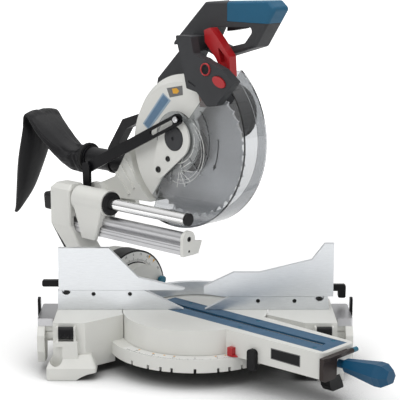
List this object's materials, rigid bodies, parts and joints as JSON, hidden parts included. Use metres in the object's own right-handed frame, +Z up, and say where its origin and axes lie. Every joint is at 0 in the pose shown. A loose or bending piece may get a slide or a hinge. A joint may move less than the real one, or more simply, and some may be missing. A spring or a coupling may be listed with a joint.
{
  "type": "sliding compound mitre saw",
  "caption": "Bench sliding mitre saw, head up on twin rails, clear blade guard, arm swung to the right, split fence, side wings and cloth dust bag",
  "frame": {"origin": "on the bench plane, on the axis about which the turntable swings, which is also the centre of the four bench bolt holes", "axes": "X to the right along the fence, Y to the back, Z up"},
  "size_m": [0.5953, 0.5565, 0.5569],
  "materials": {
    "casting": "warm off-white powder coat on cast metal",
    "fence_alu": "pale satin machined aluminium",
    "dark_plastic": "dark grey moulded plastic",
    "black_plastic": "black moulded plastic",
    "black_metal": "black painted steel",
    "blue_grip": "blue soft grip",
    "blue_handle": "deep blue moulded plastic",
    "insert_blue": "steel-blue moulded plastic",
    "red_plastic": "red moulded plastic",
    "teal_plastic": "teal moulded plastic",
    "tube_steel": "polished steel tube",
    "steel": "bright steel",
    "rail_alu": "drawn aluminium",
    "clear_guard": "clear polycarbonate",
    "rubber": "black rubber",
    "bag_cloth": "black woven bag cloth",
    "brass": "plain bronze bush",
    "bracket_brown": "dark brown moulded plastic"
  },
  "bodies": {
    "base": {"base_casting": "casting", "rubber_feet": "rubber", "lower_fence": "fence_alu", "pivot_bolt": "steel"},
    "upper_fence_left": {"upper_fence_left": "fence_alu"},
    "upper_fence_right": {"upper_fence_right": "fence_alu"},
    "fence_lever_left": {"fence_lever_left": "black_plastic"},
    "fence_lever_right": {"fence_lever_right": "black_plastic"},
    "wing_left": {"wing_left": "casting", "wing_plate_left": "rail_alu"},
    "wing_right": {"wing_right": "casting", "wing_plate_right": "rail_alu"},
    "wing_lock_left": {"wing_lock_left": "black_plastic"},
    "wing_lock_right": {"wing_lock_right": "black_plastic"},
    "flip_stop_left": {"flip_stop_left": "black_metal"},
    "flip_stop_right": {"flip_stop_right": "black_metal"},
    "turntable": {"turntable_casting": "casting", "kerf_insert": "insert_blue", "mitre_pointer": "red_plastic", "arm_foot": "black_plastic", "arm_clip": "black_plastic", "bevel_stop_pin": "teal_plastic"},
    "mitre_handle": {"mitre_handle": "blue_handle"},
    "detent_lever": {"detent_lever": "bracket_brown"},
    "detent_pin": {"detent_pin": "teal_plastic"},
    "column": {"column_casting": "casting", "column_cover": "black_plastic", "bevel_cover": "black_plastic", "upper_rail": "tube_steel", "rail_cap": "black_plastic", "lower_rail": "rail_alu", "lower_rail_cap": "casting", "bevel_shaft": "steel"},
    "bevel_lock_knob": {"bevel_lock_knob": "black_plastic"},
    "carriage": {"carriage_casting": "casting", "linear_bearing": "brass", "bearing_seal": "black_plastic", "link_bracket": "black_metal", "head_pivot_pin": "steel"},
    "head": {"upper_guard": "casting", "head_arm": "casting", "gear_case": "dark_plastic", "motor_housing": "dark_plastic", "motor_cap": "black_plastic", "handle_body": "dark_plastic", "handle_grip": "blue_grip", "light_housing": "dark_plastic", "carry_handle": "black_plastic", "dust_duct": "black_plastic", "dust_bag": "bag_cloth", "hub_cover": "casting", "hub_cap": "dark_plastic"},
    "blade": {"blade": "steel", "spindle": "steel"},
    "armature": {"armature": "steel"},
    "lower_guard": {"lower_guard": "clear_guard"},
    "link": {"link_arm": "black_metal"},
    "trigger": {"trigger": "black_plastic"},
    "lock_off_lever": {"lock_off_lever": "red_plastic"},
    "light_button": {"light_button": "red_plastic"}
  },
  "joints": [
    {"name": "fence_left_slide", "type": "slide", "parent": "base", "child": "upper_fence_left", "axis": [-1, 0, 0], "range_m": [0, 0.08]},
    {"name": "fence_right_slide", "type": "slide", "parent": "base", "child": "upper_fence_right", "axis": [1, 0, 0], "range_m": [0, 0.08]},
    {"name": "fence_lever_left_turn", "type": "hinge", "parent": "base", "child": "fence_lever_left", "pos_m": [-0.199, 0.026, 0.116], "axis": [0, 1, 0], "range_deg": [0, 90]},
    {"name": "fence_lever_right_turn", "type": "hinge", "parent": "base", "child": "fence_lever_right", "pos_m": [0.197, 0.026, 0.109], "axis": [0, 1, 0], "range_deg": [-90, 0]},
    {"name": "wing_left_slide", "type": "slide", "parent": "base", "child": "wing_left", "axis": [-1, 0, 0], "range_m": [0, 0.07]},
    {"name": "wing_right_slide", "type": "slide", "parent": "base", "child": "wing_right", "axis": [1, 0, 0], "range_m": [0, 0.07]},
    {"name": "wing_lock_left_turn", "type": "hinge", "parent": "base", "child": "wing_lock_left", "pos_m": [-0.191, -0.076, 0.073], "axis": [1, 0, 0], "range_deg": [-80, 0]},
    {"name": "wing_lock_right_turn", "type": "hinge", "parent": "base", "child": "wing_lock_right", "pos_m": [0.191, -0.076, 0.073], "axis": [1, 0, 0], "range_deg": [-80, 0]},
    {"name": "flip_stop_left_turn", "type": "hinge", "parent": "wing_left", "child": "flip_stop_left", "pos_m": [-0.2386, 0.002, 0.077], "axis": [1, 0, 0], "range_deg": [-100, 0]},
    {"name": "flip_stop_right_turn", "type": "hinge", "parent": "wing_right", "child": "flip_stop_right", "pos_m": [0.2386, 0.002, 0.077], "axis": [1, 0, 0], "range_deg": [-100, 0]},
    {"name": "mitre", "type": "hinge", "parent": "base", "child": "turntable", "pos_m": [0, 0, 0.06], "axis": [0, 0, 1], "range_deg": [-94, 0]},
    {"name": "mitre_handle_turn", "type": "hinge", "parent": "turntable", "child": "mitre_handle", "pos_m": [0.21941, -0.2046, 0.06], "axis": [-0.7314, 0.682, 0], "range_deg": [-120, 0]},
    {"name": "detent_lever_press", "type": "hinge", "parent": "turntable", "child": "detent_lever", "pos_m": [0.20514, -0.1913, 0.074], "axis": [-0.682, -0.7314, 0], "range_deg": [0, 8], "stiffness_Nm_per_rad": 0.6},
    {"name": "detent_pin_push", "type": "slide", "parent": "detent_lever", "child": "detent_pin", "axis": [0.682, 0.7314, 0], "range_m": [0, 0.004]},
    {"name": "bevel", "type": "hinge", "parent": "turntable", "child": "column", "pos_m": [-0.09508, 0.08866, 0.082], "axis": [-0.7314, 0.682, 0], "range_deg": [0, 45]},
    {"name": "bevel_lock_turn", "type": "hinge", "parent": "column", "child": "bevel_lock_knob", "pos_m": [-0.22556, 0.11736, 0.228], "axis": [-0.7314, 0.682, 0], "range_deg": [-90, 0]},
    {"name": "rail_slide", "type": "slide", "parent": "column", "child": "carriage", "axis": [0.7314, -0.682, 0], "range_m": [0, 0.15]},
    {"name": "head_pivot", "type": "hinge", "parent": "carriage", "child": "head", "pos_m": [-0.13164, 0.12276, 0.247], "axis": [-0.682, -0.7314, 0], "range_deg": [-47.2, 0]},
    {"name": "lower_guard_turn", "type": "hinge", "parent": "head", "child": "lower_guard", "pos_m": [-0.02787, -0.01229, 0.35], "axis": [0.682, 0.7314, 0], "range_deg": [-112, 0]},
    {"name": "link_turn", "type": "hinge", "parent": "carriage", "child": "link", "pos_m": [-0.1676, 0.09886, 0.286], "axis": [-0.682, -0.7314, 0], "range_deg": [-47.3, 0]},
    {"name": "blade_spin", "type": "hinge", "parent": "head", "child": "blade", "pos_m": [-0.00439, 0.00409, 0.334], "axis": [0.682, 0.7314, 0], "continuous": true},
    {"name": "armature_spin", "type": "hinge", "parent": "head", "child": "armature", "pos_m": [0.00874, 0.07389, 0.37], "axis": [0.682, 0.7314, 0], "continuous": true},
    {"name": "trigger_pull", "type": "hinge", "parent": "head", "child": "trigger", "pos_m": [0.06903, -0.05207, 0.522], "axis": [0.682, 0.7314, 0], "range_deg": [0, 8], "stiffness_Nm_per_rad": 0.5},
    {"name": "lock_off_press", "type": "hinge", "parent": "head", "child": "lock_off_lever", "pos_m": [0.02409, -0.04161, 0.516], "axis": [0.682, 0.7314, 0], "range_deg": [-6, 0], "stiffness_Nm_per_rad": 0.5},
    {"name": "light_button_press", "type": "slide", "parent": "head", "child": "light_button", "axis": [0.682, 0.7314, 0], "range_m": [0, 0.002], "stiffness_N_per_m": 400}
  ],
  "couplings": [
    {"joint": "lower_guard_turn", "follows": "head_pivot", "ratio": 2.3729},
    {"joint": "link_turn", "follows": "head_pivot", "ratio": 1},
    {"joint": "armature_spin", "follows": "blade_spin", "ratio": -3.6}
  ]
}
